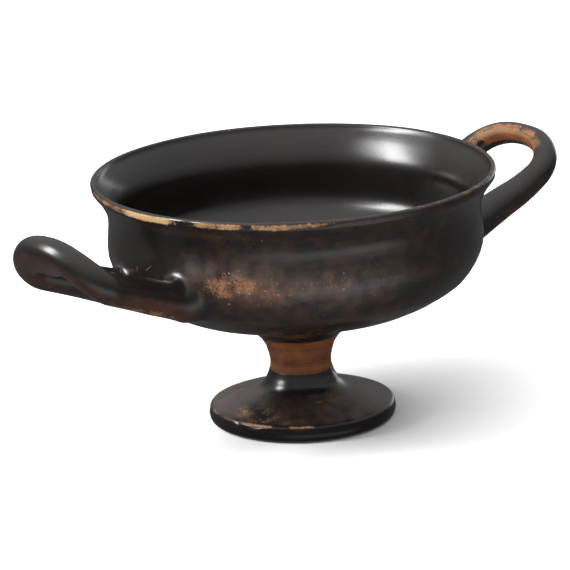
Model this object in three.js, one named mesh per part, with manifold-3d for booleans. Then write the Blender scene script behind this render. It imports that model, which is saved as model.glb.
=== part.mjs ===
import * as THREE from "three";
import { mergeVertices } from "three/addons/utils/BufferGeometryUtils.js";
import Module from "manifold-3d";

// Two-handled drinking cup on a stemmed foot, one fired piece.
// Millimetres, +Z up, handles along X, origin at the centre of the resting face.
// A pair is a radius and a height on the turned profile.

// Foot: a thick disc with a bulging side and a rounded upper edge, resting on a ring, hollowed underneath.
const REST_INNER_R = 30;
const REST_OUTER_R = 38.6;
const FOOT_LOW = [41.1, 1.7];
const FOOT_EDGE = [41.7, 4.1];
const FOOT_SIDE = [41.4, 6.1];
const FOOT_ARRIS_R = 2.2;
const FOOT_TOP_SLOPE = 17;
const FOOT_TOP = [28, 11.8];
const FOOT_FILLET = [20, 14.3];
const HOLLOW_BEND = [15, 8.5];
const HOLLOW_NECK = [7, 17];
const HOLLOW_CROWN = [4.9, 23.6];
const HOLLOW_TOP_Z = 26;

// Stem: waisted, spreading as a short trumpet under the bowl.
const STEM_BASE = [16.2, 18.3];
const STEM_WAIST = [13.65, 26.5];
const STEM_TOP = [16, 35.7];
const COLLAR = [20, 40.8];
const UNDER = [24, 44.6];

// Bowl: low cone, round belly, concave neck and outturned lip.
const CONE = [45, 50.8];
const TURN = [58, 55];
const BELLY_LOW = [69, 60.8];
const BELLY_MID = [77, 67.5];
const BELLY = [83, 79.9];
const NECK = [82.6, 96.5];
const FLARE = [85.3, 104.4];
const LIP_R = 89.5;
const LIP_ROUND_R = 1.3;
const LIP_FACE_H = 2.2;
const LIP_FACE_TAPER = 0.3;
const RIM_H = 113.4;

// Inside: the wall follows the outside, with a soft ridge behind the neck.
// A lean is the angle, in degrees above level, at which the wall's thickness is measured inwards.
const FLARE_WALL_T = 4;
const NECK_WALL_T = 4.9;
const BELLY_WALL_T = 5.6;
const LOW_WALL_T = 8;
const FLARE_LEAN = 8;
const BELLY_LEAN = 12;
const BELLY_MID_LEAN = 45;
const TURN_LEAN = 67;
const FLOOR_Z = 51.2;
const FLOOR_FLAT = [22, 52.5];

// Handles: round bars, two arms that spread a little and a rounded bend that turns up.
// Rolled and bent by hand, so each has its own rise, bend and lean.
// The left bend swells into a thick web on its inner side, which leans down along the loop.
const HANDLE_REACH = 141.25;
const ROOT_OUT = 65;
const LEAVE_OUT = 77.3;
const LEAVE_HALF_W = 20.3;
const LEAVE_Z = 72.3;
const BEND_SQUARENESS = 2.28;
const SPREAD_POWER = 1.5;
const BAR_LEAVE_R = 8.1;
const BAR_TAPER_POWER = 0.7;
const ROOT_FLARE = 1.05;
const ROOT_FLARE_REACH = 0.14;
const WEB_ACROSS = -4;
const WEB_HALF_W = 14;
const WEB_START = 0.8;
const WEB_LEAN = 52;
const RIGHT_HANDLE = {
  side: 1,
  bendLength: 14.2,
  bendHalfW: 25.1,
  bendR: 4.9,
  rise: 24.6,
  upturn: 7.8,
  upturnStart: 0.53,
  tilt: 0,
  skew: 1,
  web: 0,
};
const LEFT_HANDLE = {
  side: -1,
  bendLength: 14.7,
  bendHalfW: 24.5,
  bendR: 6.1,
  rise: 20.7,
  upturn: 11.6,
  upturnStart: 0.71,
  tilt: 1.3,
  skew: 0,
  web: 10.5,
};

// Facets
const TURN_SEGMENTS = 60;
const HOLLOW_STEPS = 7;
const FOOT_SIDE_STEPS = 5;
const ARRIS_STEPS = 3;
const STEM_STEPS = 13;
const BOWL_STEPS = 16;
const LIP_STEPS = 4;
const INSIDE_STEPS = 14;
const BAR_SIDES = 12;
const BAR_STEPS = 36;
const ARM_SHARE = 0.66;
const CLEAR_ABOVE = 20;
const WELD = 1e-4;
const UP = new THREE.Vector3(0, 0, 1);

const wasm = await Module();
wasm.setup();

function solidFrom(geometry) {
  const bare = geometry.index ? geometry.toNonIndexed() : geometry.clone();
  bare.deleteAttribute("normal");
  bare.deleteAttribute("uv");
  const merged = mergeVertices(bare, WELD);
  const mesh = new wasm.Mesh({
    numProp: 3,
    vertProperties: new Float32Array(merged.attributes.position.array),
    triVerts: new Uint32Array(merged.index.array),
  });
  return new wasm.Manifold(mesh);
}

function geometryFrom(solid) {
  const mesh = solid.getMesh();
  const position = new Float32Array(mesh.numVert * 3);
  for (let i = 0; i < mesh.numVert; i++) {
    for (let k = 0; k < 3; k++) {
      position[3 * i + k] = mesh.vertProperties[mesh.numProp * i + k];
    }
  }
  const geometry = new THREE.BufferGeometry();
  geometry.setAttribute("position", new THREE.BufferAttribute(position, 3));
  geometry.setIndex(new THREE.BufferAttribute(new Uint32Array(mesh.triVerts), 1));
  geometry.computeVertexNormals();
  return geometry;
}

// Smooth curve through radius and height pairs.
function flow(pairs, steps) {
  const curve = new THREE.SplineCurve(pairs.map(([r, z]) => new THREE.Vector2(r, z)));
  return curve.getPoints(steps);
}

// Arc about a centre pair, between two angles in degrees.
function arcAround([r, z], radius, from, to, steps) {
  const arc = new THREE.ArcCurve(r, z, radius, ...[from, to].map(THREE.MathUtils.degToRad), false);
  return arc.getPoints(steps);
}

// The pair that lies a wall's thickness inside an outside pair.
function inside([r, z], thickness, lean) {
  const a = THREE.MathUtils.degToRad(lean);
  return [r - thickness * Math.cos(a), z + thickness * Math.sin(a)];
}

// Under the foot, from the top of the hollow down to the resting ring.
function hollowProfile() {
  const marks = [[0, HOLLOW_TOP_Z], HOLLOW_CROWN, HOLLOW_NECK, HOLLOW_BEND, [REST_INNER_R, 0]];
  return flow(marks, HOLLOW_STEPS);
}

function footProfile() {
  const side = flow([[REST_OUTER_R, 0], FOOT_LOW, FOOT_EDGE, FOOT_SIDE], FOOT_SIDE_STEPS);
  const centre = [FOOT_SIDE[0] - FOOT_ARRIS_R, FOOT_SIDE[1]];
  const arris = arcAround(centre, FOOT_ARRIS_R, 0, 90 - FOOT_TOP_SLOPE, ARRIS_STEPS);
  return [...side, ...arris.slice(1)];
}

function stemProfile(footEdge) {
  const edge = [footEdge.x, footEdge.y];
  const marks = [edge, FOOT_TOP, FOOT_FILLET, STEM_BASE, STEM_WAIST, STEM_TOP, COLLAR, UNDER];
  return flow(marks, STEM_STEPS).slice(1);
}

function bowlOutside() {
  const lipLow = [LIP_R - LIP_FACE_TAPER, RIM_H - LIP_ROUND_R - LIP_FACE_H];
  const marks = [UNDER, CONE, TURN, BELLY_LOW, BELLY_MID, BELLY, NECK, FLARE, lipLow];
  return flow(marks, BOWL_STEPS).slice(1);
}

function lipProfile() {
  return arcAround([LIP_R - LIP_ROUND_R, RIM_H - LIP_ROUND_R], LIP_ROUND_R, 0, 180, LIP_STEPS);
}

function bowlInside() {
  const lipIn = [LIP_R - 2 * LIP_ROUND_R, RIM_H - LIP_ROUND_R];
  const wall = [
    inside(FLARE, FLARE_WALL_T, FLARE_LEAN),
    inside(NECK, NECK_WALL_T, 0),
    inside(BELLY, BELLY_WALL_T, BELLY_LEAN),
    inside(BELLY_MID, LOW_WALL_T, BELLY_MID_LEAN),
    inside(TURN, LOW_WALL_T, TURN_LEAN),
  ];
  return flow([lipIn, ...wall, FLOOR_FLAT, [0, FLOOR_Z]], INSIDE_STEPS);
}

function turned(profile) {
  const geometry = new THREE.LatheGeometry(profile, TURN_SEGMENTS);
  geometry.rotateX(Math.PI / 2);
  return solidFrom(geometry);
}

function bodySolid() {
  const foot = footProfile();
  const stem = stemProfile(foot.at(-1));
  return turned([
    ...hollowProfile(),
    ...foot,
    ...stem,
    ...bowlOutside(),
    ...lipProfile(),
    ...bowlInside().slice(1),
  ]);
}

// The drinking space, carried above the rim, so the handle roots never reach into it.
function drinkingSpace() {
  const wall = bowlInside().reverse();
  const top = RIM_H + CLEAR_ABOVE;
  return turned([...wall, new THREE.Vector2(wall.at(-1).x, top), new THREE.Vector2(0, top)]);
}

// Centre line of one handle: u runs from root to root along the loop.
class HandleLine extends THREE.Curve {
  constructor(handle) {
    super();
    this.handle = handle;
    this.bendOut = HANDLE_REACH - handle.bendR;
    this.armEnd = this.bendOut - handle.bendLength;
  }
  outward(u) {
    const s = 1 - Math.abs(2 * u - 1);
    if (s < ARM_SHARE) {
      return ROOT_OUT + ((this.armEnd - ROOT_OUT) * s) / ARM_SHARE;
    }
    const a = ((s - ARM_SHARE) / (1 - ARM_SHARE)) * (Math.PI / 2);
    return this.armEnd + this.handle.bendLength * Math.pow(Math.sin(a), 2 / BEND_SQUARENESS);
  }
  halfWidth(out) {
    const { bendHalfW, bendLength } = this.handle;
    if (out <= this.armEnd) {
      const share = Math.max(0, (out - LEAVE_OUT) / (this.armEnd - LEAVE_OUT));
      return LEAVE_HALF_W + (bendHalfW - LEAVE_HALF_W) * Math.pow(share, SPREAD_POWER);
    }
    const reach = Math.min(1, (out - this.armEnd) / bendLength);
    const rest = Math.max(0, 1 - Math.pow(reach, BEND_SQUARENESS));
    return bendHalfW * Math.pow(rest, 1 / BEND_SQUARENESS);
  }
  share(out) {
    return Math.max(0, (out - LEAVE_OUT) / (this.bendOut - LEAVE_OUT));
  }
  getPoint(u, target = new THREE.Vector3()) {
    const { side, bendHalfW, rise, upturn, upturnStart, tilt, skew } = this.handle;
    const out = this.outward(u);
    const q = this.share(out);
    const across = Math.sign(0.5 - u) * this.halfWidth(out) + skew * q;
    const bend = Math.max(0, (q - upturnStart) / (1 - upturnStart));
    const z = LEAVE_Z + rise * q + upturn * bend * bend + (tilt * across) / bendHalfW;
    return target.set(side * out, side * across, z);
  }
  barRadius(u) {
    const q = this.share(this.outward(u));
    const flare = ROOT_FLARE * Math.exp(-q / ROOT_FLARE_REACH);
    const { bendR } = this.handle;
    return bendR + (BAR_LEAVE_R - bendR) * Math.pow(1 - q, BAR_TAPER_POWER) + flare;
  }
  // How far the web stretches the bar at u.
  webDepth(u) {
    const { side, web } = this.handle;
    const { x, y } = this.getPoint(u);
    const bend = THREE.MathUtils.smoothstep(this.share(side * x), WEB_START, 1);
    const off = (side * y - WEB_ACROSS) / WEB_HALF_W;
    return web * bend * Math.exp(-off * off);
  }
  // The way the web stretches at u: into the loop and down.
  webWay(u) {
    const lean = THREE.MathUtils.degToRad(WEB_LEAN);
    const level = this.getTangent(u).cross(UP).normalize();
    return level.multiplyScalar(Math.cos(lean)).addScaledVector(UP, -Math.sin(lean));
  }
}

// A round bar drawn along the centre line, then each ring brought to its own radius and web.
function handleSolid(handle) {
  const line = new HandleLine(handle);
  const ring = new THREE.Shape();
  for (let i = 0; i < BAR_SIDES; i++) {
    const a = (2 * Math.PI * i) / BAR_SIDES;
    if (i === 0) ring.moveTo(Math.cos(a), Math.sin(a));
    else ring.lineTo(Math.cos(a), Math.sin(a));
  }
  const geometry = new THREE.ExtrudeGeometry(ring, { steps: BAR_STEPS, extrudePath: line });
  const centres = line.getSpacedPoints(BAR_STEPS);
  const position = geometry.attributes.position;
  const p = new THREE.Vector3();
  for (let i = 0; i < position.count; i++) {
    p.fromBufferAttribute(position, i);
    let best = 0;
    for (let k = 1; k <= BAR_STEPS; k++) {
      const nearer = p.distanceTo(centres[k]) < p.distanceTo(centres[best]);
      if (nearer) best = k;
    }
    const u = line.getUtoTmapping(best / BAR_STEPS);
    const way = line.webWay(u);
    p.sub(centres[best]);
    const stretch = line.webDepth(u) * Math.max(0, p.dot(way));
    p.multiplyScalar(line.barRadius(u)).addScaledVector(way, stretch).add(centres[best]);
    position.setXYZ(i, p.x, p.y, p.z);
  }
  return solidFrom(geometry);
}

const space = drinkingSpace();
const right = handleSolid(RIGHT_HANDLE).subtract(space);
const left = handleSolid(LEFT_HANDLE).subtract(space);
const cup = bodySolid().add(right).add(left);

const blackGloss = new THREE.MeshStandardMaterial({ color: 0x2e2722, roughness: 0.3, metalness: 0 });
const mesh = new THREE.Mesh(geometryFrom(cup), blackGloss);
mesh.name = "kylix_cup";

const group = new THREE.Group();
group.name = "kylix";
group.add(mesh);

export default group;
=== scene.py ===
import math

import bmesh
import bpy
import numpy as np
from mathutils import Matrix, Vector, noise


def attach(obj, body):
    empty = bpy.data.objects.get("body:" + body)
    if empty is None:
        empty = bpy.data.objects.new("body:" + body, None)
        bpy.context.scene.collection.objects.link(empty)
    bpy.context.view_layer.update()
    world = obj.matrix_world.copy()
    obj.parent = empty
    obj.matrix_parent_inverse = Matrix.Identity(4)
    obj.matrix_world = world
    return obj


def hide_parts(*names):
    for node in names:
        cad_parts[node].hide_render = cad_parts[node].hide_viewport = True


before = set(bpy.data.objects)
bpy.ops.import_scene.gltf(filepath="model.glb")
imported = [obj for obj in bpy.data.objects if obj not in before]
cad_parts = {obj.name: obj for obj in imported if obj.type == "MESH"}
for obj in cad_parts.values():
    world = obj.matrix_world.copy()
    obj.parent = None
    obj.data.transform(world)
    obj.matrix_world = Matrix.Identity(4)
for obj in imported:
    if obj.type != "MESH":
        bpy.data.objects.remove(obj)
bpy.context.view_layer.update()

# A black-gloss drinking cup: thrown bowl and foot, rolled handles, dipped in slip and fired as one.
# Sizes are millimetres, as on the solid that this piece stands for. MM turns them into metres.
# A pair is a radius and a height on the turned profile.
MM = 0.001

# Foot: thick disc with a bulging side and a rounded upper edge, resting on a ring.
REST_INNER_R = 30.0
REST_OUTER_R = 38.6
FOOT_LOW = (41.1, 1.7)
FOOT_EDGE = (41.7, 4.1)
FOOT_SIDE = (41.4, 6.1)
FOOT_ARRIS_R = 2.2
FOOT_TOP_SLOPE = 17.0
FOOT_TOP = (28.0, 11.8)
FOOT_FILLET = (20.0, 14.3)
HOLLOW_BEND = (15.0, 8.5)
HOLLOW_NECK = (7.0, 17.0)
HOLLOW_CROWN = (4.9, 23.6)
HOLLOW_TOP_Z = 26.0

# Stem: waisted, spreading under the bowl.
STEM_BASE = (16.2, 18.3)
STEM_WAIST = (13.65, 26.5)
STEM_TOP = (16.0, 35.7)
COLLAR = (20.0, 40.8)
UNDER = (24.0, 44.6)

# Bowl: low cone, round belly, concave neck and outturned lip.
CONE = (45.0, 50.8)
TURN = (58.0, 55.0)
BELLY_LOW = (69.0, 60.8)
BELLY_MID = (77.0, 67.5)
BELLY = (83.0, 79.9)
NECK = (82.6, 96.5)
FLARE = (85.3, 104.4)
LIP_R = 89.5
LIP_ROUND_R = 1.3
LIP_FACE_H = 2.2
LIP_FACE_TAPER = 0.3
RIM_H = 113.4

# Inside: the wall follows the outside; a lean is the angle at which its thickness is measured.
FLARE_WALL_T = 4.0
NECK_WALL_T = 4.9
BELLY_WALL_T = 5.6
LOW_WALL_T = 8.0
FLARE_LEAN = 8.0
BELLY_LEAN = 12.0
BELLY_MID_LEAN = 45.0
TURN_LEAN = 67.0
FLOOR_Z = 51.2
FLOOR_FLAT = (22.0, 52.5)

# Handles: round bars, two arms that spread a little and a rounded bend that turns up.
HANDLE_REACH = 141.25
LEAVE_OUT = 77.3
LEAVE_HALF_W = 20.3
LEAVE_Z = 72.3
BEND_SQUARENESS = 2.28
SPREAD_POWER = 1.5
BAR_LEAVE_R = 8.1
BAR_TAPER_POWER = 0.7
ROOT_FLARE = 1.05
ROOT_FLARE_REACH = 0.14
RIGHT_HANDLE = {
    "side": 1,
    "bend_length": 14.2,
    "bend_half_w": 25.1,
    "bend_r": 4.9,
    "rise": 24.6,
    "upturn": 7.8,
    "upturn_start": 0.53,
    "tilt": 0.0,
    "skew": 1.0,
    "web": 0.0,
}
LEFT_HANDLE = {
    "side": -1,
    "bend_length": 14.7,
    "bend_half_w": 24.5,
    "bend_r": 6.1,
    "rise": 20.7,
    "upturn": 11.6,
    "upturn_start": 0.71,
    "tilt": 1.3,
    "skew": 0.0,
    "web": 10.5,
}
# The web fills the left bend: its middle across the loop, its half width, where it starts and how it leans.
WEB_ACROSS = -4.0
WEB_HALF_W = 14.0
WEB_START = 0.8
WEB_LEAN = 52.0

# Clay pressed into the handle joints: how far it rounds the corner, and how its skin is found.
JOIN_BLEND = 6.0
JOIN_REACH = 9.6
JOIN_DEPTH = 1.2
JOIN_ROUNDS = 4
JOIN_PROBE = 0.05
JOIN_LEAST_SLOPE = 0.2
FAR = 1e9

# How finely the surface is drawn.
TURN_SEGMENTS = 330
BAR_SIDES = 40
BAR_RINGS = 120
CAP_SCALES = (0.72, 0.45, 0.2)
STEP_HOLLOW = 2.6
STEP_FOOT = 0.6
STEP_STEM = 1.0
STEP_BOWL = 1.35
STEP_LIP = 0.45
STEP_INSIDE = 1.9
FLOW_STEPS = 24
PLAN_STEPS = 60

# The camera of the photograph, found from the cup's outline.
VIEW_AZIMUTH = -38.0
VIEW_ELEVATION = 15.81
VIEW_DISTANCE = 1849.0
VIEW_ROLL = 2.48
VIEW_TARGET_Z = 60.0
PIXELS = 570
PIXELS_PER_MM = 2.25
AXIS_PIXEL = (297.8, 287.3)
SENSOR_MM = 36.0
VIEW_END_M = 50.0

# Wear, read off the photograph. A turn is degrees round the cup from the front, right positive.
# Two heights, radii or tilts together are where an effect starts and where it is full.
# Some wear layers also carry painted light: a highlight and a grazing reflection on edges, and a grey sheen
# on the belly.
WEAR_AND_PAINTED_LIGHT_KINDS = ("worn", "thin", "pale", "dull")
FRONT = VIEW_AZIMUTH - 90
INSIDE_LOW_Z = FLOOR_Z - 1
RUBBED_PALE_AND_HIGHLIGHT = 0.7
LIP_WEAR = (
    (-180, 0.15),
    (-84, 0.15),
    (-76, 0.5),
    (-56, 0.6),
    (-53, 0.76),
    (-39, 0.76),
    (-37, 0.6),
    (-36, 0.38),
    (-30.5, 0.38),
    (-28.5, 0.64),
    (-16, 0.66),
    (-14.8, 0.42),
    (-12.4, 0.38),
    (-11, 0.64),
    (0, 0.62),
    (3, 0.56),
    (9, 0.48),
    (12, 0.35),
    (20, 0.2),
    (90, 0.15),
    (180, 0.15),
)
LIP_WEAR_LOW = (
    (-78, 111.6),
    (-70, 111.0),
    (-56, 110.4),
    (-48, 110.0),
    (-39, 110.3),
    (-30, 110.8),
    (-20, 110.3),
    (-13, 110.7),
    (-6, 110.4),
    (1, 110.9),
    (8, 111.7),
    (20, 112.6),
)
LIP_PALE = ((-75, 0.1), (-56, 0.3), (-52, 0.8), (-39, 0.85), (-32, 0.45), (-26, 0.48), (0, 0.42), (10, 0.4))
LIP_CREST = ((-180, 0.25), (-90, 0.15), (-60, 0), (14, 0), (26, 0.26), (62, 0.3), (85, 0.28), (180, 0.25))
LIP_FADE_BELOW = 0.9
LIP_FADE_ABOVE = 0.5
LIP_CROWN_TILT = (0.75, 0.3)
LIP_CREST_Z = (RIM_H - 1.1, RIM_H - 0.4)
LIP_CREST_R = (LIP_R - 3, LIP_R - 1.6)
LIP_CHIP_Z = (RIM_H - 3.2, RIM_H - 1.2)
LIP_CHIP_R = LIP_R - 1.6
# A chip is a turn, a half width in degrees and a depth.
LIP_CHIPS = (
    (-52, 3, 0.4),
    (-30, 1.3, 0.5),
    (-13, 1.1, 0.55),
    (9, 1.5, 0.35),
    (38, 1.0, 0.4),
    (58, 1.2, 0.4),
)
# A patch on the belly is a turn, a height, a half width in degrees, a half height and a strength.
BELLY_WORN = (
    (-19, 84, 12, 7, 0.6),
    (-22, 80, 7, 4, 0.52),
    (-8, 82, 12, 5, 0.5),
    (8, 84, 14, 6, 0.36),
    (-17, 106, 11, 1.4, 0.34),
    (-66, 104, 9, 2.0, 0.3),
)
BELLY_RED = (
    (-14, 82, 19, 10, 0.8),
    (8, 78, 18, 8, 0.4),
    (-24, 106, 24, 3, 0.5),
    (0, 100, 30, 5, 0.2),
    (25, 66, 30, 5, 0.3),
)
# The first dull patch is a painted grey sheen; the other two are duller slip round the worn patch.
BELLY_DULL_AND_SHEEN = ((-29, 89, 7, 5, 0.4), (-14, 86, 12, 8, 0.42), (8, 82, 24, 9, 0.3))
BELLY_PALE = 0.25
OUTSIDE_RED_Z = (36.0, 46.0)
OUTSIDE_RED = ((-180, 0.2), (-60, 0.1), (-40, 0.1), (-26, 0.3), (20, 0.32), (60, 0.16), (180, 0.16))
# Along a handle, 0 is the far arm's root, 1 the middle of the bend and 2 the near arm's root.
# Round the bar, up and inward are 1 on the face that looks that way and -1 on the other.
RIGHT_RUBBED = ((0.25, 0), (0.4, 0.52), (0.55, 0.62), (0.98, 0.6), (1.05, 0.5), (1.1, 0.2), (1.16, 0))
RIGHT_INNER_EDGE = ((0.85, 0), (0.95, 0.7), (1.12, 0.75), (1.2, 0.3), (1.28, 0))
RIGHT_RED = ((1.1, 0), (1.3, 0.5), (1.7, 0.5), (1.9, 0))
RIGHT_RUBBED_UP = (-0.05, 0.4)
RIGHT_RUBBED_INWARD = (0.0, 0.55)
RIGHT_PALE = 0.45
RIGHT_EDGE_INWARD = (0.75, 0.93)
RIGHT_RED_UP = (0.1, -0.5)
LEFT_BROWN = ((0, 0.3), (0.6, 0.4), (1.05, 0.4), (1.25, 0.45), (1.5, 0.7), (1.9, 0.65), (2, 0.4))
# The left near arm's lower edge is partly rubbed, partly a painted grazing reflection along its contour.
LEFT_RUBBED_AND_RIM_LIGHT = ((1.1, 0), (1.3, 0.36), (1.5, 0.46), (1.75, 0.5), (1.9, 0.4), (2, 0.2))
LEFT_BROWN_UP = (0.25, -0.35)
LEFT_RUBBED_AND_RIM_LIGHT_UP = (-0.55, -0.85)
BAR_SLACK = 2.0
BAR_CLEAR = (0.3, 4.0)
FOOT_END_Z = FOOT_FILLET[1] + 2
FOOT_WEAR_Z = 7.6
FOOT_EDGE_FADE = 0.6
FOOT_EDGE_R = (39.3, 40.4)
# Turns -36 to -22 are partly chips, partly a painted highlight along the edge.
FOOT_EDGE_WEAR_AND_HIGHLIGHT = (
    (-100, 0.2),
    (-76, 0.45),
    (-52, 0.5),
    (-40, 0.45),
    (-36, 0.72),
    (-22, 0.76),
    (-18, 0.35),
    (-12, 0.3),
    (-8, 0.75),
    (4, 0.8),
    (9, 0.3),
    (60, 0.2),
)
FOOT_DULL = ((-180, 0.6), (-100, 0.6), (-62, 0.3), (-20, 0.2), (4, 0.25), (24, 0.65), (90, 0.7), (180, 0.6))
FOOT_NICKS = ((-90, 0.1), (-70, 0.3), (-50, 0.34), (-30, 0.34), (-18, 0.28), (10, 0.24), (60, 0.05))
FOOT_TOP_Z = (7.4, 8.6)
FOOT_TOP_TILT = (0.3, 0.7)
FOOT_NICKED_R = (16.0, 34.0)
FOOT_ARC_R = 23.0
FOOT_ARC_FADE = 0.8
FOOT_ARC_LOW_Z = 10.0
FOOT_ARC_WEAR = ((10, 0), (16, 0.9), (44, 0.85), (52, 0))
FOOT_CHIP_FADE = 1.1
FOOT_CHIP_R = (38.5, 40.4)
FOOT_CHIP_TOP_Z = 12.0
FOOT_CHIPS = ((-60, 5, 0.35), (-31, 4, 0.6), (-2.5, 3, 0.5), (-45, 2, 0.4))
REST_WORN = 0.85
REST_WORN_Z = (0.6, 0.1)
REST_WORN_R = (REST_INNER_R - 1, REST_INNER_R + 1)
HOLLOW_THIN = 0.7
HOLLOW_TILT = -0.1
HOLLOW_END_Z = HOLLOW_TOP_Z + 1
STEM_GROOVE_Z = 34.5
STEM_GROOVE_HALF_W = 0.7
STEM_GROOVE_R = 20.0
STEM_GROOVE_DEPTH = 0.22

# Handwork: throwing ridges and waviness. A wave is how long one swell is.
RIDGE_PITCH = 3.6
RIDGE_DEPTH = 0.05
RIDGE_SWAY = 3.0
HAND_WAVE = 45.0
HAND_DEPTH = 0.3
BAR_WAVE = 18.0
BAR_DEPTH = 0.35
HANDWORK_Z = (0.3, 1.5)

# The stem's bare band and the bare line above it, between heights; the slip's edge is brushed.
BARE_STOPS = (
    (23.4, 0),
    (23.9, 1),
    (39.4, 1),
    (39.9, 0),
    (42.4, 0),
    (42.9, 0.15),
    (44.2, 0.12),
    (45.2, 0),
)
BARE_SPAN = 60.0

# Sizes of the patterns in the slip and the clay; the grit is drawn coarser than real to show.
CLOUD_MM = 30.0
MOTTLE_MM = 6.0
GRIT_MM = 0.8
STREAK_STRETCH = (0.004, 0.004, 0.8)
STREAK_SHIFT = (0.5, 0.5, 0)
FLECK_GAP_MM = 1.8
FLECK_R_MM = 0.6
BARE_R = 25.0
WHEEL_MARK_DEPTH = 0.02
PIT_DEPTH = 0.02
SLIP_DEPTH = 0.06
SCRATCH_W = 0.26
SCRATCHES = (
    ((-51.6, 85.2), (-49.2, 87.6)),
    ((-56.4, 83.8), (-56.0, 85.6)),
)

# Colours as they look on screen: the slip, a dull film and nicks in it (the film partly a painted sheen),
# the clay, and the floor.
SLIP_BLACK = "0b0a0a"
SLIP_CLOUDED = "1c1614"
SLIP_THIN = "3a2115"
DULL_FILM_AND_SHEEN = "5a4e49"
NICK = "a8977c"
CLAY_DARK = "4a2816"
CLAY_LIGHT = "7c4a26"
CLAY_PALE = "a98c62"
PAPER = "f4f4f4"

# How the surfaces mirror: glassy slip's usual index; the foot's low side, as painted shade, and clay mirror
# less.
SLIP_IOR = 1.5
SLIP_ROUGHNESS = (0.2, 0.32)
DULL_ROUGHNESS = 0.5
CLAY_ROUGHNESS = 0.62
PAPER_ROUGHNESS = 0.9
SLIP_MIRROR = 0.5
FOOT_SHADED_MIRROR = 0.22
CLAY_MIRROR = 0.2
# Below these heights the foot's side mirrors less: painted shade for the shadowed floor in its gloss.
FOOT_SHADE_Z = (6.0, 8.0)

# Noise lies about 0.5; a span is the part of it that is stretched to a full range.
CLOUD_SPAN = (0.3, 0.7)
PATCH_SPAN = (0.3, 0.7)
PATCH_SHARE = (0.35, 1.3)
DRIFT_SPAN = (0.28, 0.72)
GRIME_SPAN = (0.3, 0.6)
GRIME_SHADE = (0.8, 1.05)
STREAK_SHARE = 0.45
DRIFT_SHARE = 0.5

# Wear with noise added: from where slip turns brown, from where it gives way, and where thin slip reddens.
WEAR_NOISE = 0.8
SCORCH_SPAN = (1.1, 1.26)
THROUGH_SPAN = (1.14, 1.5)
RED_SPAN = (0.6, 1.25)
BARE_WOBBLE = 0.9
BARE_FADE = 2.0
SCRATCH_SHOWS = 0.16
FLECK_RARITY = 0.94
FLECK_BY_WEAR = -0.75
FLECK_SPAN = (0.0, 0.2)
FLECK_SHOWS = 0.8

# The room as the gloss mirrors it: degrees above level and brightness, as a share of ROOM_STRENGTH.
ROOM_STRENGTH = 1.5
ROOM_SIDES = ((-90, 0.08), (-40, 0.08), (-5, 0.09), (5, 0.1), (25, 0.4), (50, 0.62), (90, 0.85))
ROOM_FRONT = (
    (-90, 0.08),
    (-60, 0.14),
    (-45, 0.32),
    (-36, 0.7),
    (-30, 0.95),
    (-23, 0.76),
    (-14, 0.34),
    (-6, 0.13),
    (5, 0.13),
    (25, 0.4),
    (50, 0.62),
    (90, 0.85),
)
TABLE_TURN = 20.0
TABLE_SPAN = (0.44, 0.93)
FLOOR_HALF = 6.0

# A lamp is degrees right of the camera and above level, then distance, width, height and brightness.
# Lamps and the floor are in metres.
LEFT_LAMP = (-78, 36, 1.35, 0.4, 0.7, 30)
BACK_CARD = (150, 2, 1.6, 0.7, 0.5, 1.6)
OVERHEAD_LAMP = (0, 89, 1.8, 2.2, 2.2, 2.6)


def linear(hex_colour):
    """A colour as seen on screen, such as c08a5a, as the linear values that light works in."""
    parts = [int(hex_colour[i : i + 2], 16) / 255 for i in (0, 2, 4)]
    return tuple(c / 12.92 if c <= 0.04045 else ((c + 0.055) / 1.055) ** 2.4 for c in parts)


def evenly(line, step):
    """The same line with its points a step apart."""
    run = np.r_[0, np.cumsum(np.hypot(*np.diff(line, axis=0).T))]
    marks = np.linspace(0, run[-1], max(2, int(round(run[-1] / step)) + 1))
    return np.c_[np.interp(marks, run, line[:, 0]), np.interp(marks, run, line[:, 1])]


def flow(pairs, step):
    """A smooth curve through radius and height pairs, as evenly spaced points."""
    p = np.array(pairs, float)
    t = np.linspace(0, 1, FLOW_STEPS, endpoint=False)[:, None]
    dense = []
    for i in range(len(p) - 1):
        before, a, b, after = p[max(i - 1, 0)], p[i], p[i + 1], p[min(i + 2, len(p) - 1)]
        u, v = (b - before) / 2, (after - a) / 2
        cubic = (2 * a - 2 * b + u + v) * t**3 + (-3 * a + 3 * b - 2 * u - v) * t**2
        dense.append(cubic + u * t + a)
    return evenly(np.vstack([*dense, p[-1:]]), step)


def arc_around(centre, radius, start, end, step):
    """An arc about a centre pair, between two angles in degrees."""
    count = max(3, int(round(radius * math.radians(abs(end - start)) / step)) + 1)
    a = np.radians(np.linspace(start, end, count))
    return np.c_[centre[0] + radius * np.cos(a), centre[1] + radius * np.sin(a)]


def within(pair, thickness, lean):
    """The pair that lies a wall's thickness inside an outside pair."""
    a = math.radians(lean)
    return (pair[0] - thickness * math.cos(a), pair[1] + thickness * math.sin(a))


def foot_and_stem():
    crown = [(0, HOLLOW_TOP_Z), HOLLOW_CROWN, HOLLOW_NECK, HOLLOW_BEND, (REST_INNER_R, 0)]
    hollow = flow(crown, STEP_HOLLOW)
    rest = evenly(np.array([(REST_INNER_R, 0), (REST_OUTER_R, 0)], float), STEP_HOLLOW)
    side = flow([(REST_OUTER_R, 0), FOOT_LOW, FOOT_EDGE, FOOT_SIDE], STEP_FOOT)
    arris_centre = (FOOT_SIDE[0] - FOOT_ARRIS_R, FOOT_SIDE[1])
    arris = arc_around(arris_centre, FOOT_ARRIS_R, 0, 90 - FOOT_TOP_SLOPE, STEP_FOOT / 2)
    marks = [arris[-1], FOOT_TOP, FOOT_FILLET, STEM_BASE, STEM_WAIST, STEM_TOP, COLLAR, UNDER]
    stem = flow(marks, STEP_STEM)
    return np.vstack([hollow, rest[1:], side[1:], arris[1:], stem[1:]])


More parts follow.
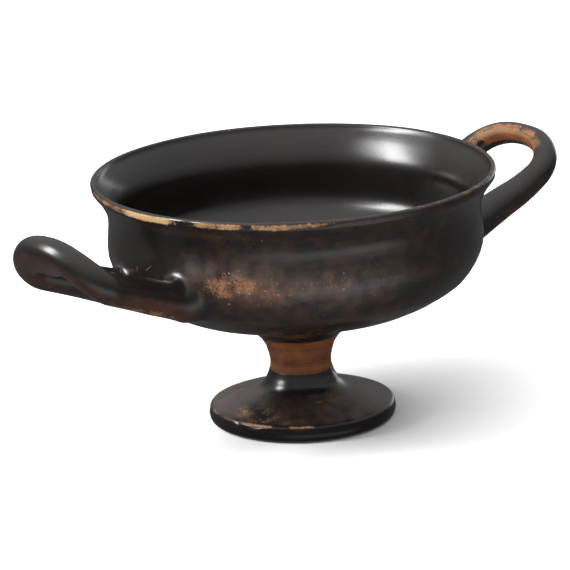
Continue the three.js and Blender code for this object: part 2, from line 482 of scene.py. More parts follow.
def bowl_outside():
    lip_low = (LIP_R - LIP_FACE_TAPER, RIM_H - LIP_ROUND_R - LIP_FACE_H)
    return flow([UNDER, CONE, TURN, BELLY_LOW, BELLY_MID, BELLY, NECK, FLARE, lip_low], STEP_BOWL)


def lip():
    low = (LIP_R - LIP_FACE_TAPER, RIM_H - LIP_ROUND_R - LIP_FACE_H)
    centre = (LIP_R - LIP_ROUND_R, RIM_H - LIP_ROUND_R)
    round_edge = arc_around(centre, LIP_ROUND_R, 0, 180, STEP_LIP)
    face = evenly(np.array([low, round_edge[0]]), STEP_LIP)
    return np.vstack([face[1:-1], round_edge])


def bowl_inside():
    marks = [
        (LIP_R - 2 * LIP_ROUND_R, RIM_H - LIP_ROUND_R),
        within(FLARE, FLARE_WALL_T, FLARE_LEAN),
        within(NECK, NECK_WALL_T, 0),
        within(BELLY, BELLY_WALL_T, BELLY_LEAN),
        within(BELLY_MID, LOW_WALL_T, BELLY_MID_LEAN),
        within(TURN, LOW_WALL_T, TURN_LEAN),
        FLOOR_FLAT,
        (0, FLOOR_Z),
    ]
    return flow(marks, STEP_INSIDE)


def object_from(name, verts, faces):
    """A mesh object, in metres, from points in millimetres."""
    mesh = bpy.data.meshes.new(name)
    mesh.from_pydata((np.asarray(verts) * MM).tolist(), [], faces)
    mesh.update()
    made = bpy.data.objects.new(name, mesh)
    bpy.context.scene.collection.objects.link(made)
    return made


def turned(name, profile, segments):
    """The profile spun round the cup's axis; it starts and ends on that axis."""
    angles = np.linspace(0, 2 * np.pi, segments, endpoint=False)
    ring = np.c_[np.cos(angles), np.sin(angles)]
    inner = profile[1:-1]
    verts = [np.array([[0, 0, profile[0, 1]]])]
    for r, z in inner:
        verts.append(np.c_[ring * r, np.full(segments, z)])
    verts.append(np.array([[0, 0, profile[-1, 1]]]))
    last = 1 + len(inner) * segments
    faces = []
    for j in range(segments):
        k = (j + 1) % segments
        faces.append((0, 1 + k, 1 + j))
        for i in range(len(inner) - 1):
            a, b = 1 + i * segments, 1 + (i + 1) * segments
            faces.append((a + j, a + k, b + k, b + j))
        end = 1 + (len(inner) - 1) * segments
        faces.append((end + j, end + k, last))
    return object_from(name, np.vstack(verts), faces)


class HandleLine:
    """The centre line of one handle's bar, from root to root, with its frame and radius."""

    def __init__(self, side, bend_length, bend_half_w, bend_r, rise, upturn, upturn_start, tilt, skew, web):
        self.side = side
        bend_out = HANDLE_REACH - bend_r
        half = self.half_plan(bend_out, bend_length, bend_half_w)
        plan = np.vstack([half, (half * [1, -1])[-2::-1]])
        plan = evenly(plan, np.hypot(*np.diff(plan, axis=0).T).sum() / BAR_RINGS)
        self.share = np.clip((plan[:, 0] - LEAVE_OUT) / (bend_out - LEAVE_OUT), 0, 1)
        across = plan[:, 1] + skew * self.share
        bend = np.clip((self.share - upturn_start) / (1 - upturn_start), 0, 1)
        z = LEAVE_Z + rise * self.share + upturn * bend**2 + tilt * across / bend_half_w
        self.centre = np.c_[side * plan[:, 0], side * across, z]
        flare = ROOT_FLARE * np.exp(-self.share / ROOT_FLARE_REACH)
        taper = (BAR_LEAVE_R - bend_r) * (1 - self.share) ** BAR_TAPER_POWER
        self.radius = bend_r + taper + flare
        at_bend = np.clip((self.share - WEB_START) / (1 - WEB_START), 0, 1)
        middle = np.exp(-(((across - WEB_ACROSS) / WEB_HALF_W) ** 2))
        self.fill = web * at_bend**2 * (3 - 2 * at_bend) * middle
        self.arm = np.sign(self.centre[:, 1])
        heading = np.gradient(self.centre, axis=0)
        heading /= np.linalg.norm(heading, axis=1)[:, None]
        up = np.array([0, 0, 1.0])
        inward = np.cross(heading, up)
        self.inward = inward / np.linalg.norm(inward, axis=1)[:, None]
        self.over = np.cross(self.inward, heading)
        lean = np.radians(WEB_LEAN)
        self.fill_way = self.inward * np.cos(lean) - up * np.sin(lean)

    @staticmethod
    def half_plan(bend_out, bend_length, bend_half_w):
        """Seen from above: how far out and how far across, from the root to the middle of the bend."""
        arm_end = bend_out - bend_length
        s = np.linspace(0, 1, PLAN_STEPS, endpoint=False)
        spread = LEAVE_HALF_W + (bend_half_w - LEAVE_HALF_W) * s**SPREAD_POWER
        arm = np.c_[LEAVE_OUT + (arm_end - LEAVE_OUT) * s, spread]
        a = np.linspace(0, np.pi / 2, PLAN_STEPS)
        power = 2 / BEND_SQUARENESS
        bend = np.c_[arm_end + bend_length * np.sin(a) ** power, bend_half_w * np.cos(a) ** power]
        bend[-1, 1] = 0
        return np.vstack([arm, bend])


def handle_bar(name, line, wall_mid):
    """A rolled bar along the line, its two ends set into the middle of the bowl's wall."""
    turns = np.linspace(0, 2 * np.pi, BAR_SIDES, endpoint=False)[:, None]
    rings = []
    for c, r, fill, way, i, o in zip(
        line.centre, line.radius, line.fill, line.fill_way, line.inward, line.over
    ):
        offset = np.cos(turns) * i + np.sin(turns) * o
        inner = np.maximum(0, offset @ way)[:, None]
        ring = c + r * offset + fill * inner * way
        deepest = into_wall(ring, line.side, wall_mid)
        too_deep = line.side * ring[:, 0] < line.side * deepest[:, 0]
        ring[too_deep] = deepest[too_deep]
        rings.append(ring)
    ends = []
    for ring, middle in ((rings[0], line.centre[0]), (rings[-1], line.centre[-1])):
        scaled = [middle + (ring - middle) * s for s in (1, *CAP_SCALES)]
        ends.append([into_wall(part, line.side, wall_mid) for part in scaled])
    first, last = ends
    after_first, before_last = (first[0] + rings[0]) / 2, (last[0] + rings[-1]) / 2
    rings = [*first[::-1], after_first, *rings, before_last, *last]
    tips = [into_wall(line.centre[i : i + 1], line.side, wall_mid) for i in (0, len(line.centre) - 1)]
    count = len(rings)
    faces = []
    for j in range(BAR_SIDES):
        k = (j + 1) % BAR_SIDES
        for i in range(count - 1):
            a, b = i * BAR_SIDES, (i + 1) * BAR_SIDES
            faces.append((a + j, b + j, b + k, a + k))
        faces.append((count * BAR_SIDES, j, k))
        tail = (count - 1) * BAR_SIDES
        faces.append((count * BAR_SIDES + 1, tail + k, tail + j))
    return object_from(name, np.vstack([*rings, *tips]), faces)


def into_wall(points, side, wall_mid):
    """The points moved level inwards until each lies in the middle of the wall."""
    r = np.interp(points[:, 2], wall_mid[:, 1], wall_mid[:, 0])
    out = side * np.sqrt(np.maximum(r**2 - points[:, 1] ** 2, 1.0))
    return np.c_[out, points[:, 1:]]


def facing_out(made):
    bm = bmesh.new()
    bm.from_mesh(made.data)
    bmesh.ops.recalc_face_normals(bm, faces=bm.faces)
    bm.to_mesh(made.data)
    bm.free()


def joined(body, bars):
    """The bars luted onto the body as one closed skin."""
    for bar in bars:
        union = body.modifiers.new("lute", "BOOLEAN")
        union.operation, union.solver, union.object = "UNION", "MANIFOLD", bar
        ready = body.evaluated_get(bpy.context.evaluated_depsgraph_get())
        mesh = bpy.data.meshes.new_from_object(ready)
        body.modifiers.clear()
        body.data = mesh
        bpy.data.objects.remove(bar)
    return body


def points_of(made):
    co = np.empty(len(made.data.vertices) * 3)
    made.data.vertices.foreach_get("co", co)
    return co.reshape(-1, 3) / MM


def normals_of(made):
    out = np.empty(len(made.data.vertices) * 3)
    made.data.vertex_normals.foreach_get("vector", out)
    return out.reshape(-1, 3)


def set_points(made, points):
    made.data.vertices.foreach_set("co", (points * MM).ravel())
    made.data.update()


def skin_distance(points, outline):
    """How far each point lies outside the turned outline, negative inside the wall."""
    flat = np.c_[np.hypot(points[:, 0], points[:, 1]), points[:, 2]]
    best = np.full(len(flat), FAR)
    sign = np.ones(len(flat))
    for a, b in zip(outline[:-1], outline[1:]):
        ab = b - a
        t = np.clip(((flat - a) @ ab) / (ab @ ab), 0, 1)
        gap = flat - (a + t[:, None] * ab)
        d = np.hypot(gap[:, 0], gap[:, 1])
        nearer = d < best
        best = np.where(nearer, d, best)
        side = gap[:, 0] * ab[1] - gap[:, 1] * ab[0]
        sign = np.where(nearer, np.sign(side), sign)
    return best * sign


def bar_distance(points, line):
    """How far each point lies outside the bar, and which ring of it is nearest."""
    best = np.full(len(points), FAR)
    ring = np.zeros(len(points), int)
    for i, (c, r) in enumerate(zip(line.centre, line.radius)):
        d = np.linalg.norm(points - c, axis=1) - r
        nearer = d < best
        best = np.where(nearer, d, best)
        ring[nearer] = i
    return best, ring


def soft_union(a, b):
    """The smaller of two distances, rounded where they are nearly equal, as clay is smoothed at a join."""
    h = np.clip(0.5 + 0.5 * (b - a) / JOIN_BLEND, 0, 1)
    return b + (a - b) * h - JOIN_BLEND * h * (1 - h)


def smooth_joins(body, lines, outline):
    """Clay pressed into the corners where the bars meet the bowl."""
    points = points_of(body)
    for line in lines:
        beside = np.nonzero(points[:, 0] * line.side > LEAVE_OUT / 2)[0]
        near_bar = bar_distance(points[beside], line)[0] < JOIN_REACH
        skin = skin_distance(points[beside], outline)
        chosen = beside[near_bar & (skin < JOIN_REACH) & (skin > -JOIN_DEPTH)]
        p = points[chosen]

        def gap(q):
            return soft_union(skin_distance(q, outline), bar_distance(q, line)[0])

        for _ in range(JOIN_ROUNDS):
            here = gap(p)
            ahead = [gap(p + JOIN_PROBE * axis) for axis in np.eye(3)]
            slope = np.stack([(there - here) / JOIN_PROBE for there in ahead], axis=1)
            size = np.maximum((slope**2).sum(1), JOIN_LEAST_SLOPE)
            p = p - (here / size)[:, None] * slope
        points[chosen] = p
    set_points(body, points)


def make_cup():
    outside = bowl_outside()
    inside = bowl_inside()
    profile = np.vstack([foot_and_stem(), outside[1:], lip(), inside[1:]])
    body = turned("cup", profile, TURN_SEGMENTS)
    facing_out(body)
    inner = inside[::-1]
    rising = inner[np.r_[True, np.diff(inner[:, 1]) > 1e-6]]
    inner_r = np.interp(outside[:, 1], rising[:, 1], rising[:, 0])
    wall_mid = np.c_[(outside[:, 0] + inner_r) / 2, outside[:, 1]]
    lines = [HandleLine(**h) for h in (RIGHT_HANDLE, LEFT_HANDLE)]
    bars = [handle_bar(f"bar_{i}", line, wall_mid) for i, line in enumerate(lines)]
    for bar in bars:
        facing_out(bar)
    body = joined(body, bars)
    smooth_joins(body, lines, outside)
    return body, lines, outside, wall_mid


def ease(low, high, x):
    """A smooth step from 0 at low to 1 at high; low may be the larger."""
    t = np.clip((x - low) / (high - low), 0, 1)
    return t * t * (3 - 2 * t)


def along(marks, x):
    """Values between marks, which are pairs of place and value in rising order."""
    places, values = zip(*marks)
    return np.interp(x, places, values)


class Skin:
    """Where each point of the cup's surface lies, how worn it is, and where light is painted on it."""

    def __init__(self, cup, lines, outside, wall_mid):
        self.points = points_of(cup)
        self.normals = normals_of(cup)
        x, y, self.z = self.points.T
        self.r = np.hypot(x, y)
        self.turn = (np.degrees(np.arctan2(y, x)) - FRONT + 180) % 360 - 180
        count = len(self.z)
        within_wall = self.r < np.interp(self.z, wall_mid[:, 1], wall_mid[:, 0])
        self.inside = (self.z > INSIDE_LOW_Z) & within_wall
        for kind in ("bar", "side", "way", "up", "inward", *WEAR_AND_PAINTED_LIGHT_KINDS):
            setattr(self, kind, np.zeros(count))
        for line in lines:
            self.find_bar(line, outside)
        self.wall = (1 - self.bar) * ~self.inside

    def find_bar(self, line, outside):
        """The points on one handle: how far along, and which face of the bar they are on."""
        beside = np.nonzero(self.points[:, 0] * line.side > LEAVE_OUT / 2)[0]
        gap, ring = bar_distance(self.points[beside], line)
        clear = skin_distance(self.points[beside], outside)
        on = (gap < BAR_SLACK + line.fill[ring]) & (clear > BAR_CLEAR[0])
        chosen, ring = beside[on], ring[on]
        self.bar[chosen] = ease(*BAR_CLEAR, clear[on])
        self.side[chosen] = line.side
        share = line.share[ring]
        self.way[chosen] = np.where(line.arm[ring] > 0, share, 2 - share)
        out = self.points[chosen] - line.centre[ring]
        out /= np.linalg.norm(out, axis=1)[:, None]
        self.up[chosen] = (out * line.over[ring]).sum(1)
        self.inward[chosen] = (out * line.inward[ring]).sum(1)

    def spot(self, turn, height, wide, tall):
        """A soft-edged patch on the outside; wide is in degrees, tall in millimetres."""
        return self.wall * np.exp(-(((self.turn - turn) / wide) ** 2) - ((self.z - height) / tall) ** 2)

    def mark(self, kind, amount):
        """More of one kind of wear and painted light, never less than is there."""
        setattr(self, kind, np.maximum(getattr(self, kind), amount))


def wear_lip(skin):
    """The lip's outer edge, rubbed down to pale clay where a mouth and hands touch it."""
    low = along(LIP_WEAR_LOW, skin.turn)
    band = skin.wall * ease(low - LIP_FADE_BELOW, low + LIP_FADE_ABOVE, skin.z)
    crown = ease(*LIP_CROWN_TILT, skin.normals[:, 2])
    skin.mark("worn", along(LIP_WEAR, skin.turn) * band * crown)
    skin.mark("pale", along(LIP_PALE, skin.turn) * band)
    crest = ease(*LIP_CREST_Z, skin.z) * ease(*LIP_CREST_R, skin.r)
    skin.mark("worn", along(LIP_CREST, skin.turn) * crest)
    skin.mark("pale", RUBBED_PALE_AND_HIGHLIGHT * along(LIP_CREST, skin.turn) * crest)


def wear_handles(skin):
    """Thumb wear on the right handle, thin slip where the left one was held for dipping, and a rubbed lower
    edge on the left one's near arm that is partly a painted grazing reflection.
    """
    right = skin.bar * (skin.side > 0)
    inner_top = ease(*RIGHT_RUBBED_UP, skin.up) * ease(*RIGHT_RUBBED_INWARD, skin.inward)
    rubbed = along(RIGHT_RUBBED, skin.way) * inner_top
    skin.mark("worn", right * rubbed)
    skin.mark("thin", right * rubbed)
    skin.mark("pale", right * RIGHT_PALE * rubbed)
    edge = along(RIGHT_INNER_EDGE, skin.way) * ease(*RIGHT_EDGE_INWARD, skin.inward)
    skin.mark("worn", right * edge)
    skin.mark("thin", right * along(RIGHT_RED, skin.way) * ease(*RIGHT_RED_UP, skin.up))
    left = skin.bar * (skin.side < 0)
    under = ease(*LEFT_BROWN_UP, skin.up)
    skin.mark("thin", left * along(LEFT_BROWN, skin.way) * under)
    # The left near arm's lower edge: partly rubbed clay, partly a painted grazing reflection.
    skin.mark("worn", left * along(LEFT_RUBBED_AND_RIM_LIGHT, skin.way) * ease(*LEFT_RUBBED_AND_RIM_LIGHT_UP, skin.up))


def wear_foot(skin):
    """Knocks along the foot's edge, partly a painted highlight at the front left, and a scraped arc on its
    top, bare clay on the resting ring.
    """
    low = skin.wall * (skin.z < FOOT_END_Z)
    edge = low * np.exp(-(((skin.z - FOOT_WEAR_Z) / FOOT_EDGE_FADE) ** 2)) * ease(*FOOT_EDGE_R, skin.r)
    # The pale edge at the front left is partly a painted highlight.
    skin.mark("worn", along(FOOT_EDGE_WEAR_AND_HIGHLIGHT, skin.turn) * edge)
    skin.mark("pale", RUBBED_PALE_AND_HIGHLIGHT * along(FOOT_EDGE_WEAR_AND_HIGHLIGHT, skin.turn) * edge)
    arc = low * np.exp(-(((skin.r - FOOT_ARC_R) / FOOT_ARC_FADE) ** 2)) * (skin.z > FOOT_ARC_LOW_Z)
    skin.mark("worn", along(FOOT_ARC_WEAR, skin.turn) * arc)
    top = low * ease(*FOOT_TOP_Z, skin.z) * ease(FOOT_END_Z, FOOT_FILLET[1], skin.z)
    nicked = along(FOOT_NICKS, skin.turn) * top * ease(*FOOT_NICKED_R, skin.r)
    skin.mark("worn", nicked)
    skin.mark("pale", 2 * nicked)
    skin.mark("dull", along(FOOT_DULL, skin.turn) * top * ease(*FOOT_TOP_TILT, skin.normals[:, 2]))
    rest = ease(*REST_WORN_Z, skin.z) * ease(*REST_WORN_R, skin.r)
    skin.mark("worn", REST_WORN * rest)
    below = (skin.normals[:, 2] < HOLLOW_TILT) * (skin.z < HOLLOW_END_Z)
    hollow = below * (skin.r < REST_INNER_R)
    skin.mark("thin", HOLLOW_THIN * hollow)


def wear_belly(skin):
    """A worn patch low on the front with redder, duller slip round it, a painted grey sheen beside it, and
    a little red all over.
    """
    skin.mark("thin", along(OUTSIDE_RED, skin.turn) * skin.wall * ease(*OUTSIDE_RED_Z, skin.z))
    for turn, height, wide, tall, strength in BELLY_WORN:
        spot = strength * skin.spot(turn, height, wide, tall)
        skin.mark("worn", spot)
        skin.mark("pale", BELLY_PALE * spot)
    for turn, height, wide, tall, strength in BELLY_RED:
        skin.mark("thin", strength * skin.spot(turn, height, wide, tall))
    for turn, height, wide, tall, strength in BELLY_DULL_AND_SHEEN:
        skin.mark("dull", strength * skin.spot(turn, height, wide, tall))


def chip_and_ripple(cup, skin):
    """Throwing ridges, the slight waviness of handwork, and chips out of the lip and the foot."""
    free = ease(*HANDWORK_Z, skin.z)
    push = np.zeros(len(skin.z))
    for i, point in enumerate(skin.points):
        sway = noise.noise(Vector(point / HAND_WAVE))
        ripple = noise.noise(Vector(point / BAR_WAVE))
        ridge = math.sin(2 * math.pi * skin.z[i] / RIDGE_PITCH + RIDGE_SWAY * sway)
        bar = skin.bar[i]
        push[i] = HAND_DEPTH * sway * (1 - bar) + BAR_DEPTH * ripple * bar + RIDGE_DEPTH * ridge * (1 - bar)
    push *= free
    rim = ease(*LIP_CHIP_Z, skin.z) * (skin.r > LIP_CHIP_R)
    for turn, wide, depth in LIP_CHIPS:
        push -= depth * rim * np.exp(-(((skin.turn - turn) / wide) ** 2))
    edge = np.exp(-(((skin.z - FOOT_WEAR_Z) / FOOT_CHIP_FADE) ** 2)) * (skin.z < FOOT_CHIP_TOP_Z)
    edge *= ease(*FOOT_CHIP_R, skin.r)
    for turn, wide, depth in FOOT_CHIPS:
        push -= depth * edge * np.exp(-(((skin.turn - turn) / wide) ** 2))
    groove = np.exp(-(((skin.z - STEM_GROOVE_Z) / STEM_GROOVE_HALF_W) ** 2)) * (skin.r < STEM_GROOVE_R)
    push -= STEM_GROOVE_DEPTH * groove
    set_points(cup, skin.points + skin.normals * push[:, None])


def keep_wear_and_painted_light(cup, skin):
    """The wear and the painted light, kept on the mesh for the material to read."""
    for kind in WEAR_AND_PAINTED_LIGHT_KINDS:
        layer = cup.data.attributes.new(kind, "FLOAT", "POINT")
        layer.data.foreach_set("value", np.clip(getattr(skin, kind), 0, 1))


def add(tree, kind, inputs=None, stops=None, **settings):
    """One shader node with its settings, and its inputs as values or links.

    A From or To input is a range's two ends. Stops fill a ramp.
    """
    node = tree.nodes.new("ShaderNode" + kind)
    for name, value in settings.items():
        setattr(node, name, value)
    for name, value in (inputs or {}).items():
        if name in ("From", "To"):
            for end, amount in zip((" Min", " Max"), value):
                node.inputs[name + end].default_value = amount
        elif isinstance(value, bpy.types.NodeSocket):
            tree.links.new(value, node.inputs[name])
        else:
            node.inputs[name].default_value = value
    for i, (place, value) in enumerate(stops or ()):
        elements = node.color_ramp.elements
        stop = elements[i] if i < len(elements) else elements.new(place)
        stop.position = place
        stop.color = (value, value, value, 1)
    return node


def new_material(name):
    material = bpy.data.materials.new(name)
    material.use_nodes = True
    material.node_tree.nodes.clear()
    return material, material.node_tree


def black_gloss():
    """Iron-rich slip on orange clay, dipped and fired black.

    The slip is a thin brown-black skin with a soft gloss, redder where it lies thin. Where it has
    worn through, and on the band left bare round the stem, matt orange to cream clay shows. Part of
    the clay on the foot's edge and the left handle's lower edge is a painted highlight, and part of
    the grey dull film is a painted sheen.
    """
    material, tree = new_material("black_gloss_slip_on_orange_clay")
    here = add(tree, "TexCoord").outputs["Object"]
    place = add(tree, "VectorMath", {0: here, "Scale": 1 / MM}, operation="SCALE").outputs[0]
    level = add(tree, "SeparateXYZ", {0: place}).outputs["Z"]
    worn, thin, pale, dull_film_and_sheen = (
        add(tree, "Attribute", attribute_name=kind).outputs["Fac"] for kind in WEAR_AND_PAINTED_LIGHT_KINDS
    )

    # Clouding of the slip, mottles of wear, the clay's grit, and level streaks from the wheel.
    stretch = {0: place, 1: STREAK_STRETCH, 2: STREAK_SHIFT}
    streak_at = add(tree, "VectorMath", stretch, operation="MULTIPLY_ADD").outputs[0]
    patterns = (
        (place, 1 / CLOUD_MM, 3),
        (place, 1 / MOTTLE_MM, 3),
        (place, 1 / GRIT_MM, 2),
        (streak_at, 1, 1),
    )
    cloud, mottle, grit, streak = (
        add(tree, "TexNoise", {"Vector": at, "Scale": scale, "Detail": detail}).outputs["Fac"]
        for at, scale, detail in patterns
    )

    # A dull film lies in patches; on the belly, left of the worn patch, it paints a grey sheen.
    patches = add(tree, "MapRange", {"Value": mottle, "From": PATCH_SPAN, "To": PATCH_SHARE}).outputs[0]
    dull = add(tree, "Math", {0: dull_film_and_sheen, 1: patches}, operation="MULTIPLY").outputs[0]

    # Worn places have ragged edges: wear and noise together pass a threshold.
    ragged = add(tree, "Math", {0: grit, 1: WEAR_NOISE, 2: worn}, operation="MULTIPLY_ADD").outputs[0]
    ragged = add(tree, "Math", {0: mottle, 1: WEAR_NOISE, 2: ragged}, operation="MULTIPLY_ADD").outputs[0]
    through = add(
        tree, "MapRange", {"Value": ragged, "From": THROUGH_SPAN}, interpolation_type="SMOOTHSTEP"
    ).outputs[0]

    # The stem's bare band, with a brushed edge; only near the axis.
    wobble = add(tree, "Math", {0: mottle, 1: BARE_WOBBLE, 2: level}, operation="MULTIPLY_ADD").outputs[0]
    bare_from = BARE_WOBBLE / 2
    bare_at = add(tree, "MapRange", {"Value": wobble, "From": (bare_from, BARE_SPAN + bare_from)})
    bare_stops = [(z / BARE_SPAN, bare) for z, bare in BARE_STOPS]
    band = add(tree, "ValToRGB", {"Fac": bare_at.outputs[0]}, bare_stops).outputs["Color"]
    flat = add(tree, "VectorMath", {0: place, 1: (1, 1, 0)}, operation="MULTIPLY").outputs[0]
    radius = add(tree, "VectorMath", {0: flat}, operation="LENGTH").outputs["Value"]
    near = {"Value": radius, "From": (BARE_R, BARE_R + BARE_FADE), "To": (1, 0)}
    by_axis = add(tree, "MapRange", near).outputs[0]
    bare = add(tree, "Math", {0: band, 1: by_axis}, operation="MULTIPLY").outputs[0]
    clay_shows = add(tree, "Math", {0: through, 1: bare}, operation="MAXIMUM").outputs[0]

    # A few scratches, and pale flecks where the slip is nicked, more of them where it is worn.
    nicks = 0.0
    for ends in SCRATCHES:
        a, b = (Vector(on_wall(*spot)) for spot in ends)
        run = b - a
        from_a = add(tree, "VectorMath", {0: place, 1: a}, operation="SUBTRACT").outputs[0]
        share = add(tree, "VectorMath", {0: from_a, 1: run / run.length_squared}, operation="DOT_PRODUCT")
        held = add(tree, "Clamp", {"Value": share.outputs["Value"]}).outputs[0]
        foot_of = add(tree, "VectorMath", {0: run, "Scale": held}, operation="SCALE").outputs[0]
        gap = add(tree, "VectorMath", {0: from_a, 1: foot_of}, operation="DISTANCE").outputs["Value"]
        width = {"Value": gap, "From": (SCRATCH_W, SCRATCH_W / 2), "To": (0, SCRATCH_SHOWS)}
        line = add(tree, "MapRange", width).outputs[0]
        nicks = add(tree, "Math", {0: nicks, 1: line}, operation="MAXIMUM").outputs[0]
    fleck = add(tree, "TexVoronoi", {"Vector": place, "Scale": 1 / FLECK_GAP_MM})
    size = {"Value": fleck.outputs["Distance"], "From": (FLECK_R_MM / FLECK_GAP_MM, 0)}
    small = add(tree, "MapRange", size).outputs[0]
    rare = {0: worn, 1: FLECK_BY_WEAR, 2: FLECK_RARITY}
    rarity = add(tree, "Math", rare, operation="MULTIPLY_ADD").outputs[0]
    few = add(tree, "Math", {0: fleck.outputs["Color"], 1: rarity}, operation="SUBTRACT").outputs[0]
    few = add(tree, "MapRange", {"Value": few, "From": FLECK_SPAN, "To": (0, FLECK_SHOWS)}).outputs[0]
    flecks = add(tree, "Math", {0: small, 1: few}, operation="MULTIPLY").outputs[0]
    nicks = add(tree, "Math", {0: flecks, 1: nicks}, operation="MAXIMUM").outputs[0]

    # The slip is redder where it is thin, and brown round the worn places.
    shade = add(tree, "Mix", {"Factor": STREAK_SHARE, "A": cloud, "B": streak}).outputs[0]
    redness = add(tree, "Math", {0: mottle, 1: WEAR_NOISE, 2: thin}, operation="MULTIPLY_ADD").outputs[0]
    redness = add(tree, "MapRange", {"Value": redness, "From": RED_SPAN}).outputs[0]
    scorch = add(tree, "MapRange", {"Value": ragged, "From": SCORCH_SPAN}).outputs[0]
    scorch = add(tree, "Math", {0: scorch, 1: worn}, operation="MULTIPLY").outputs[0]
    redness = add(tree, "Math", {0: redness, 1: scorch}, operation="MAXIMUM").outputs[0]
    slip = (*linear(SLIP_BLACK), 1)
    for share, tone in ((shade, SLIP_CLOUDED), (redness, SLIP_THIN), (dull, DULL_FILM_AND_SHEEN), (nicks, NICK)):
        coat = {"Factor": share, 6: slip, 7: (*linear(tone), 1)}
        slip = add(tree, "Mix", coat, data_type="RGBA").outputs[2]

    # The clay drifts in tone, is paler where rubbed most and where a highlight is painted on the foot's
    # edge, and is specked with grime.
    drift = add(tree, "Mix", {"Factor": DRIFT_SHARE, "A": mottle, "B": streak}).outputs[0]
    drift = add(tree, "MapRange", {"Value": drift, "From": DRIFT_SPAN}).outputs[0]
    clay = (*linear(CLAY_DARK), 1)
    for share, tone in ((drift, CLAY_LIGHT), (pale, CLAY_PALE)):
        rubbed = {"Factor": share, 6: clay, 7: (*linear(tone), 1)}
        clay = add(tree, "Mix", rubbed, data_type="RGBA").outputs[2]
    grime = add(tree, "MapRange", {"Value": grit, "From": GRIME_SPAN, "To": GRIME_SHADE}).outputs[0]
    specked = {"Factor": 1.0, 6: clay, 7: grime}
    clay = add(tree, "Mix", specked, data_type="RGBA", blend_type="MULTIPLY").outputs[2]
    colour = add(tree, "Mix", {"Factor": clay_shows, 6: slip, 7: clay}, data_type="RGBA").outputs[2]

    gloss = add(tree, "MapRange", {"Value": cloud, "From": CLOUD_SPAN, "To": SLIP_ROUGHNESS}).outputs[0]
    gloss = add(tree, "Mix", {"Factor": dull, "A": gloss, "B": DULL_ROUGHNESS}).outputs[0]
    roughness = add(tree, "Mix", {"Factor": clay_shows, "A": gloss, "B": CLAY_ROUGHNESS}).outputs[0]
    # The foot's low side mirrors less: painted shade for the shadowed floor it would mirror.
    foot_shade = {"Value": level, "From": FOOT_SHADE_Z, "To": (FOOT_SHADED_MIRROR, SLIP_MIRROR)}
    mirror = add(tree, "MapRange", foot_shade).outputs[0]
    mirror = add(tree, "Mix", {"Factor": clay_shows, "A": mirror, "B": CLAY_MIRROR}).outputs[0]

    # Heights in millimetres: wheel marks, pitting, and the edge of the slip.
    height = 0.0
    for pattern, depth in ((streak, WHEEL_MARK_DEPTH), (grit, PIT_DEPTH), (clay_shows, -SLIP_DEPTH)):
        height = add(tree, "Math", {0: pattern, 1: depth, 2: height}, operation="MULTIPLY_ADD").outputs[0]
    bump = add(tree, "Bump", {"Strength": 1, "Distance": MM, "Height": height})

    surface = {
        "Base Color": colour,
        "Roughness": roughness,
        "IOR": SLIP_IOR,
        "Specular IOR Level": mirror,
        "Normal": bump.outputs["Normal"],
    }
    shader = add(tree, "BsdfPrincipled", surface)
    add(tree, "OutputMaterial", {"Surface": shader.outputs["BSDF"]})
    return material


def on_wall(turn, height):
    """The point on the bowl's outside at a turn and a height."""
    outside = bowl_outside()
    r = np.interp(height, outside[:, 1], outside[:, 0])
    a = math.radians(turn + FRONT)
    return (r * math.cos(a), r * math.sin(a), height)


def pale_floor():
    """Matt white studio paper, kept out of the gloss, which mirrors the darker room below it."""
    material, tree = new_material("matt_white_paper")
    surface = {"Base Color": (*linear(PAPER), 1), "Roughness": PAPER_ROUGHNESS}
    shader = add(tree, "BsdfPrincipled", surface)
    add(tree, "OutputMaterial", {"Surface": shader.outputs["BSDF"]})
    mesh = bpy.data.meshes.new("floor")
    corners = [(x * FLOOR_HALF, y * FLOOR_HALF, 0) for x, y in ((-1, -1), (1, -1), (1, 1), (-1, 1))]
    mesh.from_pydata(corners, [], [(0, 1, 2, 3)])
    mesh.materials.append(material)
    floor = bpy.data.objects.new("floor", mesh)
    floor.visible_glossy = False
    bpy.context.scene.collection.objects.link(floor)


def towards(turn, height):
    """A direction; turn is degrees to the right of the camera, height degrees above level."""
    a, e = math.radians(VIEW_AZIMUTH + turn), math.radians(height)
    return Vector((math.sin(a) * math.cos(e), -math.cos(a) * math.cos(e), math.sin(e)))


def make_camera():
    back = towards(0, VIEW_ELEVATION)
    level = Vector((math.cos(math.radians(VIEW_AZIMUTH)), math.sin(math.radians(VIEW_AZIMUTH)), 0))
    roll = math.radians(VIEW_ROLL)
    right = level * math.cos(roll) - back.cross(level) * math.sin(roll)
    up = back.cross(right)
    aside = (AXIS_PIXEL[0] - PIXELS / 2) / PIXELS_PER_MM
    below = (AXIS_PIXEL[1] - PIXELS / 2) / PIXELS_PER_MM
    aim = Vector((0, 0, VIEW_TARGET_Z)) - right * aside + up * below
    data = bpy.data.cameras.new("photo_camera")
    data.sensor_width = SENSOR_MM
    data.lens = SENSOR_MM * PIXELS_PER_MM * VIEW_DISTANCE / PIXELS
    data.clip_end = VIEW_END_M
    camera = bpy.data.objects.new("photo_camera", data)
    place = Matrix((right, up, back)).transposed().to_4x4()
    place.translation = (aim + back * VIEW_DISTANCE) * MM
    camera.matrix_world = place
    bpy.context.scene.collection.objects.link(camera)
    bpy.context.scene.camera = camera


def softbox(name, turn, height, distance, width, tall, radiance):
    """A studio lamp with a flat white face, aimed at the cup."""
    way = towards(turn, height)
    lamp = bpy.data.lights.new(name, "AREA")
    lamp.shape, lamp.size, lamp.size_y = "RECTANGLE", width, tall
    lamp.energy = radiance * math.pi * width * tall
    made = bpy.data.objects.new(name, lamp)
    made.location = Vector((0, 0, VIEW_TARGET_Z * MM)) + way * distance
    made.rotation_mode = "QUATERNION"
    made.rotation_quaternion = (-way).to_track_quat("-Z", "Y")
    made.visible_camera = False
    bpy.context.scene.collection.objects.link(made)
    return made


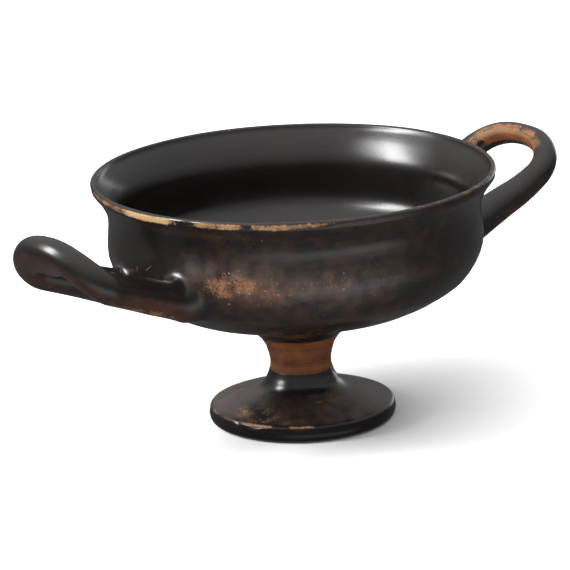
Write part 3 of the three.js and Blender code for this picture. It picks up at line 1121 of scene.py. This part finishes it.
def room():
    """A pale room, brightest overhead; in front of the cup a lit strip of table shows in the gloss."""
    world = bpy.data.worlds.new("pale_room")
    world.use_nodes = True
    tree = world.node_tree
    tree.nodes.clear()
    way = add(tree, "TexCoord").outputs["Generated"]
    rise = add(tree, "SeparateXYZ", {0: way}).outputs["Z"]
    level = add(tree, "MapRange", {"Value": rise, "From": (-1, 1)}).outputs[0]
    sides, front = (
        add(
            tree,
            "ValToRGB",
            {"Fac": level},
            [((1 + math.sin(math.radians(e))) / 2, v) for e, v in stops],
        ).outputs["Color"]
        for stops in (ROOM_SIDES, ROOM_FRONT)
    )
    flat = add(tree, "VectorMath", {0: way, 1: (1, 1, 0)}, operation="MULTIPLY").outputs[0]
    flat = add(tree, "VectorMath", {0: flat}, operation="NORMALIZE").outputs[0]
    aim = towards(TABLE_TURN, 0)
    facing = add(tree, "VectorMath", {0: flat, 1: aim}, operation="DOT_PRODUCT").outputs["Value"]
    ahead = add(
        tree, "MapRange", {"Value": facing, "From": TABLE_SPAN}, interpolation_type="SMOOTHSTEP"
    ).outputs[0]
    light = add(tree, "Mix", {"Factor": ahead, 6: sides, 7: front}, data_type="RGBA").outputs[2]
    sky = add(tree, "Background", {"Color": light, "Strength": ROOM_STRENGTH})
    add(tree, "OutputWorld", {"Surface": sky.outputs["Background"]})
    bpy.context.scene.world = world


def studio_light():
    room()
    softbox("left_lamp", *LEFT_LAMP)
    softbox("back_card", *BACK_CARD)
    overhead = softbox("overhead_lamp", *OVERHEAD_LAMP)
    overhead.visible_glossy = False
    bpy.context.scene.view_settings.view_transform = "Standard"


cup, lines, outside, wall_mid = make_cup()
skin = Skin(cup, lines, outside, wall_mid)
for wear in (wear_lip, wear_belly, wear_handles, wear_foot):
    wear(skin)
chip_and_ripple(cup, skin)
keep_wear_and_painted_light(cup, skin)
cup.data.materials.clear()
cup.data.materials.append(black_gloss())
cup.data.shade_smooth()
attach(cup, "root")
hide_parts("kylix_cup")
pale_floor()
studio_light()
make_camera()
